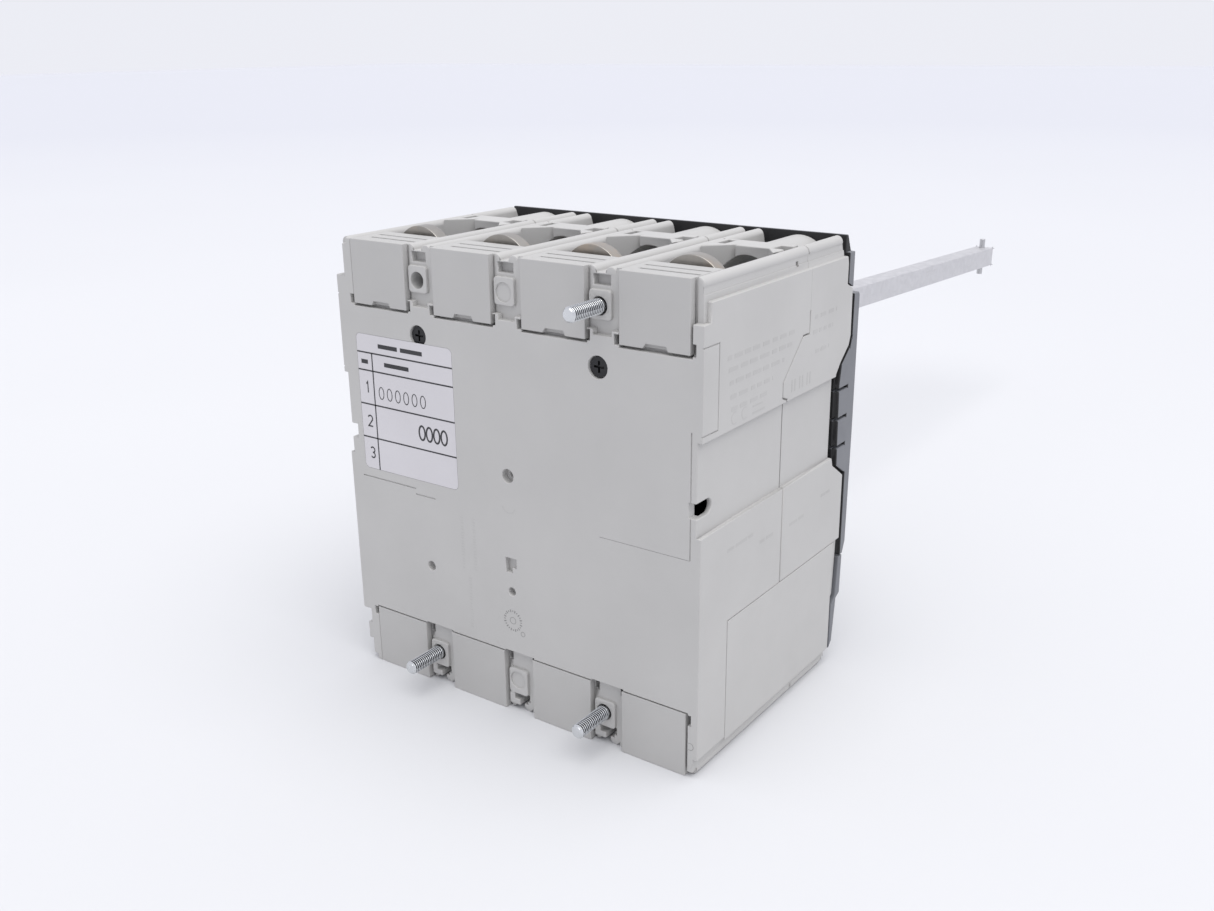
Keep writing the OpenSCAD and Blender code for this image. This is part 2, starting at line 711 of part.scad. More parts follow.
toggle_plate_x = 9;
latch_pin_d = 47.5;
latch_z = -1.1;
latch_pin_r = 1.5;
module mechanism_frame() {
    color(steel) {
        for (side = [-1, 1]) {
            plate_x = mech_x + side * toggle_plate_x;
            difference() {
                across(plate_x - 0.75, plate_x + 0.75) polygon([
                    [rear_wall + 0.1, 17.5], [44, 17.5], [44, -6], [68, -6], [68, 20],
                    [66, 26], [49, 26], [46, 23.5], [rear_wall + 0.1, 23.5]]);
                rod_x(toggle_d, hub_z, 2.56, plate_x - 2, plate_x + 2);
            }
        }
        for (place = [[latch_pin_d, latch_z], [54, 24]])
            rod_x(place[0], place[1], latch_pin_r, mech_x - toggle_plate_x, mech_x + toggle_plate_x);
    }
}

// Turns a shape drawn with the toggle level into its rest position
module toggled() {
    translate([0, -toggle_d, hub_z]) rotate([-toggle_swing_deg, 0, 0]) translate([0, toggle_d, -hub_z])
        children();
}

// Plastic handle
handle_t = 6;
module toggle_lever() {
    color(black_plastic) toggled() difference() {
        slab(mech_x - 5, mech_x + 5, toggle_d + 14, toggle_d + toggle_reach + 2,
            hub_z - handle_t / 2, hub_z + handle_t / 2);
        slab(mech_x - 3, mech_x + 3, toggle_d + 13, toggle_d + 22, hub_z - 0.8, hub_z + 0.8);
    }
}

// Steel fork on the pivot pin, with a tongue inside the handle
module toggle_yoke() {
    color(steel) toggled() {
        for (side = [-1, 1]) {
            arm_x = mech_x + side * 7;
            slab(arm_x - 0.6, arm_x + 0.6, toggle_d - 3.5, toggle_d + 13, hub_z - 3.5, hub_z + 3.5);
        }
        slab(mech_x - 7.6, mech_x + 7.6, toggle_d + 12, toggle_d + 13.4, hub_z - 3.5, hub_z + 3.5);
        slab(mech_x - 2.8, mech_x + 2.8, toggle_d + 13.4 - eps, toggle_d + 21.5, hub_z - 0.7, hub_z + 0.7);
        rod_x(toggle_d, hub_z, 2.5, mech_x - 10.4, mech_x + 10.4);
    }
}

// Pair of main springs, drawn as closed coils between the pivot and the fork
module toggle_springs() {
    color(zinc) toggled() for (side = [-1, 1])
        rod_y(mech_x + side * 3.6, hub_z, 2, toggle_d + 3, toggle_d + 11.6);
}

// Latch lever that the trip bar holds, on its own pin between the frame plates
module latch_lever() {
    color(steel) {
        difference() {
            union() {
                slab(mech_x - 4, mech_x + 4, latch_pin_d, 62, latch_z - 1.1, latch_z + 1.1);
                rod_x(latch_pin_d, latch_z, 2.6, mech_x - 4, mech_x + 4);
            }
            slab(mech_x - 1.6, mech_x + 1.6, 52, 57, -4, 1);
            rod_x(latch_pin_d, latch_z, latch_pin_r + 0.06, mech_x - 5, mech_x + 5);
        }
        slab(mech_x - 4, mech_x + 4, 60.4, 62, -7, latch_z - 1.1 + eps);
    }
}

// Box across all the poles under the mechanism, open towards the rear
module trip_unit_case() {
    skin = 1.8;
    x_in = half_w - rear_wall;
    color(black_plastic) difference() {
        slab(-x_in, x_in, 46.7, 68.7, -35.7, -18.3);
        for (x = poles) {
            slab(x - 13, x + 13, 46, 68.7 - skin, -35.7 + skin, -18.3 - skin);
            slab(x - 2.2, x + 2.2, 56, 59.8, -22, -17);
        }
    }
}

// U-shaped magnet cores round the conductors
module magnet_yokes() {
    color(steel) for (x = poles) difference() {
        slab(x - 8, x + 8, 47.2, 54, -32, -21.6);
        slab(x - 5.6, x + 5.6, 46, 51.4, -33, -21);
    }
}

module bimetal_strips() {
    color([0.6, 0.55, 0.42]) for (x = poles) {
        slab(x - 1.8, x + 1.8, 57.4, 58.4, -33.6, -12);
        slab(x - 3.6, x + 3.6, 54.2, 58.4, -33.6, -32.2);
    }
}

// Bar that the magnets, the strips and the button turn to release the latch
module trip_bar() {
    bar_half = half_w - rear_wall - 0.5;
    color(black_plastic) {
        rod_x(trip_bar_d, trip_bar_z, 2.2, -bar_half, bar_half);
        slab(button_x - 2, button_x + 2, trip_bar_d - 1.4, trip_bar_d + 0.6, trip_bar_z, button_z + 3);
        for (x = poles)
            slab(x - 2.4, x + 2.4, trip_bar_d - 2.9, trip_bar_d - 1.1, trip_bar_z - 3.2, trip_bar_z);
        slab(mech_x - 3, mech_x + 3, trip_bar_d - 0.9, trip_bar_d + 0.9, trip_bar_z + 1, trip_bar_z + 6.6);
    }
}

// Push-to-trip button: cap, collar behind the mask and stem to the trip bar's finger
module trip_button() {
    color("firebrick") {
        rod_y(button_x, button_z, 2.8, mask_d - 3, mask_d + 1.2);
        rod_y(button_x, button_z, 4.2, mask_d - 4.4, mask_d - 2.7);
        rod_y(button_x, button_z, 1.5, trip_bar_d + 1, mask_d - 4.4 + eps);
    }
}

module trip_button_spring() {
    color(zinc) difference() {
        rod_y(button_x, button_z, 2.9, 72.2, mask_d - 4.5);
        rod_y(button_x, button_z, 2.1, 70, mask_d);
    }
}

// ---- Rotary drive ----

drive_half_w = 32;
drive_half_h = 35;
drive_screw_x = 27;
drive_screw_z = 30.5;
neck_r = 11;
module drive_housing() {
    skin = 2.5;
    step = 4;
    color(dark_grey) difference() {
        union() {
            slab(mech_x - drive_half_w, mech_x + drive_half_w, mask_d + 0.1, drive_front_d - step,
                hub_z - drive_half_h, hub_z + drive_half_h);
            slab(mech_x - drive_half_w + step, mech_x + drive_half_w - step,
                drive_front_d - step - eps, drive_front_d,
                hub_z - drive_half_h + step, hub_z + drive_half_h - step);
        }
        slab(mech_x - 21, mech_x + 21, mask_d - 1, drive_front_d - step - skin,
            hub_z - drive_half_h + skin, hub_z + drive_half_h - skin);
        slab(mech_x - 21, mech_x + 21, drive_front_d - step - skin - eps, drive_front_d - 3,
            hub_z - drive_half_h + step + skin, hub_z + drive_half_h - step - skin);
        rod_y(mech_x, hub_z, neck_r + 0.06, mask_d, drive_front_d + 1);
        for (x = [-1, 1], z = [-1, 1]) {
            screw_x = mech_x + x * drive_screw_x;
            screw_up = hub_z + z * drive_screw_z;
            rod_y(screw_x, screw_up, 1.6, mask_d - 1, drive_front_d + 1);
            rod_y(screw_x, screw_up, 3.1, drive_front_d - 8, drive_front_d + 1);
        }
    }
}

// Plate inside the drive housing, with ribs that keep the slide plate against the hub
module drive_backplate() {
    color(black_plastic) {
        difference() {
            slab(mech_x - 20.8, mech_x + 20.8, mask_d + 0.1, mask_d + 2, hub_z - 32.3, hub_z + 32.3);
            slab(mech_x - 9, mech_x + 9, mask_d - 1, mask_d + 3, hub_z - 16, hub_z + 16);
        }
        for (side = [-1, 1]) {
            rib_x = mech_x + side * 18.8;
            slab(rib_x - 2, rib_x + 2, mask_d + 2 - eps, slide_d - 0.3, hub_z - 32.3, hub_z + 32.3);
        }
    }
}

module drive_screws() {
    seat_d = drive_front_d - 8;
    color(zinc) for (x = [-1, 1], z = [-1, 1]) difference() {
        union() {
            rod_y(mech_x + x * drive_screw_x, hub_z + z * drive_screw_z, 1.25, 82, seat_d + eps);
            rod_y(mech_x + x * drive_screw_x, hub_z + z * drive_screw_z, 2.8, seat_d, seat_d + 2);
        }
        slab(mech_x + x * drive_screw_x - 1.8, mech_x + x * drive_screw_x + 1.8, seat_d + 1, seat_d + 3,
            hub_z + z * drive_screw_z - 0.35, hub_z + z * drive_screw_z + 0.35);
    }
}

// Plate with a cross slot for the crank pin and two lugs that carry the toggle
crank_pin_r = 2.5;
module slide_plate() {
    slot_play = 0.45;
    lug_gap = 8;
    slide_z = hub_z + slide_up;
    color(steel) {
        difference() {
            slab(mech_x - 20.7, mech_x + 20.7, slide_d, slide_d + slide_t, slide_z - 12, slide_z + 12);
            slab(crank_x - 6.5, crank_x + 5.5, slide_d - 1, slide_d + slide_t + 1,
                slide_z - crank_pin_r - slot_play, slide_z + crank_pin_r + slot_play);
        }
        for (side = [-1, 1])
            slab(mech_x - 5, mech_x + 5, mask_d + 1.5, slide_d + eps,
                slide_z + side * (lug_gap / 2 + 0.75) - 0.75, slide_z + side * (lug_gap / 2 + 0.75) + 0.75);
    }
}

// Hub with a square socket, seated behind the drive housing's front wall
module drive_hub() {
    color(black_plastic) difference() {
        union() {
            rod_y(mech_x, hub_z, 16, slide_d + slide_t + 1.5, drive_front_d - 3.3);
            rod_y(mech_x, hub_z, neck_r, drive_front_d - 3.3 - eps, drive_front_d + 5.5);
        }
        translate([mech_x, 0, hub_z]) slab(-socket_w / 2, socket_w / 2, 101.5, drive_front_d + 6,
            -socket_w / 2, socket_w / 2);
        rod_y(crank_x, hub_z + slide_up, crank_pin_r - 0.5, 90, 104.1);
        translate([mech_x, -drive_front_d - 2.9, hub_z]) cylinder(r = 1.6, h = 20);
    }
}

module crank_pin() {
    color(steel) {
        rod_y(crank_x, hub_z + slide_up, crank_pin_r, slide_d - 2.5, slide_d + slide_t + 1.4);
        rod_y(crank_x, hub_z + slide_up, crank_pin_r - 0.55, slide_d + slide_t + 1.4 - eps, 104);
    }
}

module hub_clamp_screw() {
    color(steel) translate([mech_x, -drive_front_d - 2.9, hub_z + socket_w / 2 + 0.1]) difference() {
        cylinder(r = 1.5, h = neck_r - socket_w / 2 - 0.2);
        translate([0, 0, neck_r - socket_w / 2 - 1.7]) cylinder(r = 0.8, h = 3, $fn = 6);
    }
}

// Puts a shape drawn along -Y from the socket's middle onto the leaning shaft's axis
module on_shaft() {
    translate([mech_x, -socket_mid_d, hub_z]) rotate([shaft_lean_deg, 0, 0]) children();
}
shaft_inner = 10;
cross_pin_r = 1.4;
cross_pin_back = 4.5;
module shaft_rod() {
    color(zinc) on_shaft() difference() {
        translate([0, shaft_inner, 0]) rotate([90, 0, 0]) linear_extrude(shaft_len)
            rounded_rect(shaft_w, shaft_w, 0.7);
        translate([0, shaft_inner - shaft_len + cross_pin_back, -10]) cylinder(r = cross_pin_r, h = 20);
    }
}

module cross_pin() {
    color(steel) on_shaft()
        translate([0, shaft_inner - shaft_len + cross_pin_back, -cross_pin_len / 2])
            cylinder(r = cross_pin_r - 0.02, h = cross_pin_len);
}

base_housing();
cover_housing();
front_mask();
mask_top_strip();
mask_bottom_strip();
side_panel_left();
side_panel_right();
rear_insert_top_1();
rear_insert_top_2();
rear_insert_top_3();
rear_insert_top_4();
rear_insert_bottom_1();
rear_insert_bottom_2();
rear_insert_bottom_3();
rear_insert_bottom_4();
identification_label();
case_screws();
fixing_screws();
terminal_top_1();
terminal_top_2();
terminal_top_3();
terminal_top_4();
terminal_bottom_1();
terminal_bottom_2();
terminal_bottom_3();
terminal_bottom_4();
terminal_screws();
contact_bridge_1();
contact_bridge_2();
contact_bridge_3();
contact_bridge_4();
rotor();
arc_plates_1();
arc_plates_2();
arc_plates_3();
arc_plates_4();
arc_cheeks();
mechanism_frame();
toggle_lever();
toggle_yoke();
toggle_springs();
latch_lever();
trip_unit_case();
magnet_yokes();
bimetal_strips();
trip_bar();
trip_button();
trip_button_spring();
drive_housing();
drive_backplate();
drive_screws();
slide_plate();
drive_hub();
crank_pin();
hub_clamp_screw();
shaft_rod();
cross_pin();
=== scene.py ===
import json
import math
import random

import bmesh
import bpy
from mathutils import Matrix, Vector
from mathutils.geometry import delaunay_2d_cdt
from mathutils.kdtree import KDTree


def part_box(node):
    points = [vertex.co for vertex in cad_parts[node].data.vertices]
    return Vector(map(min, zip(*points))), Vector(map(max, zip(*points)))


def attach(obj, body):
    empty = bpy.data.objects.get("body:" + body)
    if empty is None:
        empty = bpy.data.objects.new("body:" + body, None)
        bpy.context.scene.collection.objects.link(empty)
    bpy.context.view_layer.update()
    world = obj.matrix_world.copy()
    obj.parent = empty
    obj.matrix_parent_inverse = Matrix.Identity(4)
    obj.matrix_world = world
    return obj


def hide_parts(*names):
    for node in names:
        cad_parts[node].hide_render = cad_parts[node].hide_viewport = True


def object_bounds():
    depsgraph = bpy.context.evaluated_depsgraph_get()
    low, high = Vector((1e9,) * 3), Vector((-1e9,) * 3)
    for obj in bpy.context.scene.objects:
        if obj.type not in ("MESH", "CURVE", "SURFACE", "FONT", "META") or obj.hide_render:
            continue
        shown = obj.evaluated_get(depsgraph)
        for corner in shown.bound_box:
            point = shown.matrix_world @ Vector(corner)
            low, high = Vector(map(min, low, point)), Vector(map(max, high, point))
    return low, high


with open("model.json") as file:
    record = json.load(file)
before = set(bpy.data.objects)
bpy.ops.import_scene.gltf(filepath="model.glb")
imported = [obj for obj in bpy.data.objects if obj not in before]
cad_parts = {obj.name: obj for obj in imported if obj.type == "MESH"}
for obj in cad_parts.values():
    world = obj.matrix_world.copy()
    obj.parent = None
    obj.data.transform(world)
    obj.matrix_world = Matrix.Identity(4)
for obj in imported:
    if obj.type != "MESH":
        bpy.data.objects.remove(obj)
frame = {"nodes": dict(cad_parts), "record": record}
CAD_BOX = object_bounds()
random.seed(7)
MM = 0.001
NODES = frame["nodes"]
SLOT_OF = {part["node"]: part["material_slot"] for part in frame["record"]["subparts"]}


# ---- Camera, floor and light ----

def link(obj):
    bpy.context.scene.collection.objects.link(obj)
    return obj


CAMERA_PLACE_MM = Vector((-196.72, 229.11, 115.60))
CAMERA_AIM_MM = Vector((0.0, -45.538, -0.905))
CAMERA_ROLL_DEG = -0.588


def camera():
    """Looks at the rear, the right side and the top, from the rear right."""
    data = bpy.data.cameras.new("view_camera")
    data.sensor_width = 36.0
    data.lens = 35.70
    data.clip_start, data.clip_end = 0.01, 30.0
    obj = link(bpy.data.objects.new("view_camera", data))
    level = (CAMERA_AIM_MM - CAMERA_PLACE_MM).to_track_quat("-Z", "Y").to_matrix().to_4x4()
    roll = Matrix.Rotation(math.radians(CAMERA_ROLL_DEG), 4, "Z")
    obj.matrix_world = Matrix.Translation(CAMERA_PLACE_MM * MM) @ level @ roll
    bpy.context.scene.camera = obj


def soft_sun(name, toward, angle_deg, strength, colour):
    """Even light from that direction, spread over a wide angle as under a large diffuser."""
    data = bpy.data.lights.new(name, "SUN")
    data.angle = math.radians(angle_deg)
    data.energy = strength
    data.color = colour
    obj = link(bpy.data.objects.new(name, data))
    obj.rotation_euler = Vector(toward).to_track_quat("Z", "Y").to_euler()


FLOOR_WIDTH_M = 16.0


def studio():
    """Pale floor, even sky and one wide soft light overhead, towards the object's right and rear."""
    scene = bpy.context.scene
    scene.view_settings.view_transform = "Standard"
    world = bpy.data.worlds.new("studio")
    scene.world = world
    world.use_nodes = True
    sky = world.node_tree.nodes["Background"]
    sky.inputs["Color"].default_value = (0.925, 0.935, 1.0, 1.0)
    sky.inputs["Strength"].default_value = 0.91
    soft_sun("overhead", toward=(-0.28, 0.10, 0.95), angle_deg=65.0, strength=2.0, colour=(1.0, 0.99, 0.97))

    floor_z = CAD_BOX[0].z
    half = FLOOR_WIDTH_M / 2
    mesh = bpy.data.meshes.new("floor")
    corners = [(x, y, floor_z) for x, y in ((-half, -half), (half, -half), (half, half), (-half, half))]
    mesh.from_pydata(corners, [], [(0, 1, 2, 3)])
    floor = link(bpy.data.objects.new("floor", mesh))
    mesh.materials.append(floor_material())


# ---- Materials ----

def new_material(name):
    mat = bpy.data.materials.new(name)
    mat.use_nodes = True
    tree = mat.node_tree
    return mat, tree, tree.nodes["Principled BSDF"]


def noise(tree, size_mm, detail=3.0, rough=0.5, stretch=None):
    """Noise with features of about that size, in the row frame's millimetres."""
    place = tree.nodes.new("ShaderNodeTexCoord")
    vector = place.outputs["Object"]
    if stretch:
        mapping = tree.nodes.new("ShaderNodeMapping")
        mapping.inputs["Scale"].default_value = stretch
        tree.links.new(vector, mapping.inputs["Vector"])
        vector = mapping.outputs["Vector"]
    node = tree.nodes.new("ShaderNodeTexNoise")
    node.inputs["Scale"].default_value = 1.0 / (size_mm * MM)
    node.inputs["Detail"].default_value = detail
    node.inputs["Roughness"].default_value = rough
    tree.links.new(vector, node.inputs["Vector"])
    return node.outputs["Fac"]


def ramp(tree, value, low, high, colour_low, colour_high):
    """Colour that goes from one to the other as the value goes from low to high."""
    node = tree.nodes.new("ShaderNodeValToRGB")
    node.color_ramp.elements[0].position = low
    node.color_ramp.elements[1].position = high
    node.color_ramp.elements[0].color = (*colour_low, 1)
    node.color_ramp.elements[1].color = (*colour_high, 1)
    tree.links.new(value, node.inputs["Fac"])
    return node.outputs["Color"]


def remap(tree, value, low, high, to_low, to_high):
    """The value's range from low to high, stretched to another range."""
    node = tree.nodes.new("ShaderNodeMapRange")
    node.inputs["From Min"].default_value = low
    node.inputs["From Max"].default_value = high
    node.inputs["To Min"].default_value = to_low
    node.inputs["To Max"].default_value = to_high
    tree.links.new(value, node.inputs["Value"])
    return node.outputs["Result"]


def blend_colour(tree, factor, base, over):
    """The base colour, with the plain colour over it where the factor is high."""
    node = tree.nodes.new("ShaderNodeMix")
    node.data_type = "RGBA"
    factor_in, base_in, over_in, colour_out = node.inputs[0], node.inputs[6], node.inputs[7], node.outputs[2]
    tree.links.new(factor, factor_in)
    tree.links.new(base, base_in)
    over_in.default_value = (*over, 1)
    return colour_out


def bump(tree, shader, height, depth_mm):
    """Relief on the surface, from its lowest to its highest point that deep."""
    node = tree.nodes.new("ShaderNodeBump")
    node.inputs["Strength"].default_value = 1.0
    node.inputs["Distance"].default_value = depth_mm * MM
    tree.links.new(height, node.inputs["Height"])
    tree.links.new(node.outputs["Normal"], shader.inputs["Normal"])


def shade(colour, factor):
    return tuple(c * factor for c in colour)


def moulded(name, colour, rough=0.5, grain_mm=0.35, grain_depth=0.012, cloud=0.03, dust=0.0):
    """Moulded plastic: spark-eroded grain, faint clouding, and rubbed patches that shine a little more."""
    mat, tree, shader = new_material(name)
    clouds = noise(tree, 28.0, detail=4.0)
    base = ramp(tree, clouds, 0.3, 0.7, shade(colour, 1 - cloud), shade(colour, 1 + cloud))
    if dust:
        specks = noise(tree, 1.3, detail=5.0, rough=0.7)
        amount = remap(tree, specks, 0.68, 0.76, 0.0, dust)
        base = blend_colour(tree, amount, base, shade(colour, 0.72))
    tree.links.new(base, shader.inputs["Base Color"])
    rubbed = noise(tree, 11.0, detail=5.0, rough=0.6)
    tree.links.new(remap(tree, rubbed, 0.3, 0.7, rough - 0.06, rough + 0.08), shader.inputs["Roughness"])
    bump(tree, shader, noise(tree, grain_mm, detail=2.0), grain_depth)
    return mat


def metal(name, colour, rough=0.3, line_mm=0.5, along=(1, 1, 1), depth=0.004, stain=None):
    """Metal with fine drawn or brushed lines, and stains if asked."""
    mat, tree, shader = new_material(name)
    shader.inputs["Metallic"].default_value = 1.0
    tone = noise(tree, 6.0, detail=5.0, rough=0.6)
    base = ramp(tree, tone, 0.3, 0.7, shade(colour, 0.9), shade(colour, 1.06))
    if stain:
        patches = noise(tree, 9.0, detail=6.0, rough=0.65)
        base = blend_colour(tree, remap(tree, patches, 0.5, 0.66, 0.0, 0.75), base, stain)
    tree.links.new(base, shader.inputs["Base Color"])
    tree.links.new(remap(tree, tone, 0.25, 0.75, rough - 0.08, rough + 0.12), shader.inputs["Roughness"])
    lines = noise(tree, line_mm, detail=3.0, stretch=along)
    bump(tree, shader, lines, depth)
    return mat


def galvanised():
    """Matt zinc coat on cold-drawn bar: soft spangle, drawing lines along the bar and a few scuffs."""
    mat, tree, shader = new_material("galvanised_shaft")
    shader.inputs["Metallic"].default_value = 0.85
    place = tree.nodes.new("ShaderNodeTexCoord")
    cells = tree.nodes.new("ShaderNodeTexVoronoi")
    cells.inputs["Scale"].default_value = 1.0 / (2.2 * MM)
    tree.links.new(place.outputs["Object"], cells.inputs["Vector"])
    tone = tree.nodes.new("ShaderNodeSeparateColor")
    tree.links.new(cells.outputs["Color"], tone.inputs["Color"])
    base = ramp(tree, tone.outputs["Red"], 0.0, 1.0, (0.59, 0.585, 0.60), (0.66, 0.655, 0.67))
    scuffs = noise(tree, 3.0, detail=6.0, rough=0.7, stretch=(1, 0.12, 1))
    base = blend_colour(tree, remap(tree, scuffs, 0.6, 0.7, 0.0, 0.35), base, (0.5, 0.49, 0.48))
    tree.links.new(base, shader.inputs["Base Color"])
    tree.links.new(remap(tree, tone.outputs["Red"], 0.0, 1.0, 0.42, 0.56), shader.inputs["Roughness"])
    bump(tree, shader, noise(tree, 0.5, detail=3.0, stretch=(1, 0.05, 1)), 0.012)
    return mat


def floor_material():
    """Pale sweep with painted shade that darkens it a little with distance, so that it meets the sky without
    a line.
    """
    mat, tree, shader = new_material("floor")
    tone = noise(tree, 500.0, detail=2.0)
    near = ramp(tree, tone, 0.3, 0.7, (0.635, 0.64, 0.655), (0.65, 0.655, 0.67))
    place = tree.nodes.new("ShaderNodeTexCoord")
    away = tree.nodes.new("ShaderNodeVectorMath")
    away.operation = "LENGTH"
    tree.links.new(place.outputs["Object"], away.inputs[0])
    # Painted shade: the floor's colour gets darker from 0.35 m to 2.6 m away from the scene's origin
    distance = remap(tree, away.outputs["Value"], 0.35, 2.6, 0.0, 1.0)
    base = blend_colour(tree, distance, near, (0.575, 0.583, 0.625))
    tree.links.new(base, shader.inputs["Base Color"])
    shader.inputs["Roughness"].default_value = 0.7
    shader.inputs["Specular IOR Level"].default_value = 0.1
    return mat


LIGHT_GREY = (0.478, 0.472, 0.460)
MATERIALS = {
    "light_housing": moulded("light_housing", LIGHT_GREY, rough=0.46, dust=0.05),
    "side_panel": moulded("side_panel", shade(LIGHT_GREY, 1.01), rough=0.48),
    "terminal_insert": moulded("terminal_insert", shade(LIGHT_GREY, 0.94), rough=0.5, dust=0.06),
    "dark_mask": moulded("dark_mask", (0.158, 0.163, 0.178), rough=0.42, cloud=0.05),
    "label_film": moulded("label_film", (0.60, 0.585, 0.605), rough=0.4, grain_mm=0.2, grain_depth=0.003),
    "black_screw": metal("black_screw", (0.05, 0.05, 0.052), rough=0.45),
    "zinc_plate": metal("zinc_plate", (0.66, 0.675, 0.69), rough=0.2, depth=0.002),
    "tinned_copper": metal("tinned_copper", (0.42, 0.40, 0.37), rough=0.36, line_mm=0.4, along=(0.06, 1, 1),
                           depth=0.006, stain=(0.5, 0.42, 0.34)),
    "contact_copper": metal("contact_copper", (0.80, 0.46, 0.30), rough=0.32, stain=(0.42, 0.22, 0.14)),
    "mechanism_steel": metal("mechanism_steel", (0.56, 0.56, 0.57), rough=0.36),
    "fibre_board": moulded("fibre_board", (0.42, 0.28, 0.16), rough=0.7, cloud=0.12),
    "spring_steel": metal("spring_steel", (0.6, 0.6, 0.62), rough=0.28),
    "bimetal": metal("bimetal", (0.62, 0.55, 0.42), rough=0.34, line_mm=0.3, along=(1, 1, 0.05)),
    "black_plastic": moulded("black_plastic", (0.022, 0.022, 0.024), rough=0.4, cloud=0.1),
    "red_plastic": moulded("red_plastic", (0.5, 0.03, 0.02), rough=0.3, cloud=0.06),
    "galvanised_shaft": galvanised(),
    "pin_steel": metal("pin_steel", (0.52, 0.52, 0.53), rough=0.34, line_mm=0.3, along=(1, 1, 0.05)),
}
PRINT = moulded("print_ink", (0.03, 0.03, 0.033), rough=0.55, cloud=0.2)
# Painted shade: the housing's grey a little darker, standing for the shade at the edges of faint moulded
# relief
RELIEF_PAINTED_SHADE = moulded("relief_painted_shade", shade(LIGHT_GREY, 0.93), rough=0.5, cloud=0.05)
# Painted shade: the housing's grey at half brightness, standing for the shade at the edges of the moulded
# date dial and rings
DIAL_PAINTED_SHADE = moulded("dial_painted_shade", shade(LIGHT_GREY, 0.5), rough=0.6, cloud=0.1)
# Painted shade: near-black for the backs of the mask plates and the grooves beside their side edges, which
# lie in shade
MASK_PAINTED_SHADE = moulded("mask_painted_shade", (0.012, 0.012, 0.013), rough=0.6, cloud=0.1)
# Painted shade: near-black for the thread's root, where the crevice lies in shade
THREAD_ROOT_SHADE = metal("thread_root_painted_shade", (0.045, 0.047, 0.05), rough=0.45, depth=0.002)
WHITE_PRINT = moulded("white_print", (0.72, 0.72, 0.71), rough=0.5, cloud=0.05)


# ---- Rounded copies of the outer pieces ----

BODY_OF = {node: body for body, nodes in frame["record"]["behaviour"]["bodies"].items() for node in nodes}
SHARP = math.radians(30)
FLAT = math.radians(0.6)
WELD = 0.002 * MM
# Room beside an edge is looked for this many widths away, and a rounding takes this share of it
ROOM_REACH = 2.5
ROOM_SHARE = 0.42
# An edge with room for less than this share of the full rounding stays sharp
LEAST_ROUNDING = 0.25
# A sharp edge is a neighbour if at least this share of the way to it is sideways
SIDEWAYS = 0.6
# A face is folded if its triangles cover more than its own area by this ratio and this area
FOLD_RATIO = 1.001
FOLD_AREA = 0.002 * MM * MM


def edge_samples(bm, step):
    """Points along every sharp edge, in a tree, with the edge that each one is on."""
    points = []
    for edge in bm.edges:
        if len(edge.link_faces) != 2 or edge.calc_face_angle() < SHARP:
            continue
        start, end = edge.verts[0].co, edge.verts[1].co
        count = max(1, int((end - start).length / step))
        points += [(start.lerp(end, (k + 0.5) / count), edge.index) for k in range(count)]
    tree = KDTree(len(points))
    for number, (point, _) in enumerate(points):
        tree.insert(point, number)
    tree.balance()
    return points, tree


def room_beside(bm, reach):
    """For each sharp convex edge, how far away the next sharp edge beside it is, up to the reach."""
    bm.edges.index_update()
    bm.edges.ensure_lookup_table()
    points, tree = edge_samples(bm, reach / 3)
    room = {}
    for point, owner in points:
        edge = bm.edges[owner]
        if not edge.is_convex:
            continue
        along = (edge.verts[1].co - edge.verts[0].co).normalized()
        nearest = room.get(owner, reach)
        for other, number, distance in tree.find_range(point, nearest):
            rival = bm.edges[points[number][1]]
            if rival is edge or set(rival.verts) & set(edge.verts):
                continue
            offset = other - point
            if (offset - along * offset.dot(along)).length > SIDEWAYS * distance:
                nearest = min(nearest, distance)
        room[owner] = nearest
    return room


def folded_faces(bm):
    """The faces whose outline crosses itself, so that their triangles cover more than their own area."""
    bm.normal_update()
    cut = {}
    for loops in bm.calc_loop_triangles():
        one, two, last = (loop.vert.co for loop in loops)
        cut[loops[0].face] = cut.get(loops[0].face, 0.0) + (two - one).cross(last - one).length / 2
    return [face for face, area in cut.items()
            if len(face.verts) > 4 and area > FOLD_RATIO * face.calc_area() + FOLD_AREA]


def mend_faces(bm):
    """Cuts each face whose outline crosses or touches itself into sound triangles."""
    for face in folded_faces(bm):
        verts = [loop.vert for loop in face.loops]
        flat = face.normal.to_track_quat("Z", "Y").to_matrix().transposed()
        points = [(flat @ v.co) / MM for v in verts]
        height = sum(p.z for p in points) / len(points)
        outline = [point.xy for point in points]
        made, _, tris, sources, _, _ = delaunay_2d_cdt(outline, [], [range(len(outline))], 1, 1e-5)
        back = flat.transposed()
        corners = []
        for point, source in zip(made, sources):
            corners.append(verts[source[0]] if source else bm.verts.new(back @ Vector((*point, height)) * MM))
        normal = face.normal.copy()
        bmesh.ops.delete(bm, geom=[face], context="FACES_KEEP_BOUNDARY")
        for tri in tris:
            three = [corners[k] for k in tri]
            if len(set(three)) < 3 or bm.faces.get(three):
                continue
            patch = bm.faces.new(three)
            patch.normal_update()
            if patch.normal.dot(normal) < 0:
                patch.normal_flip()


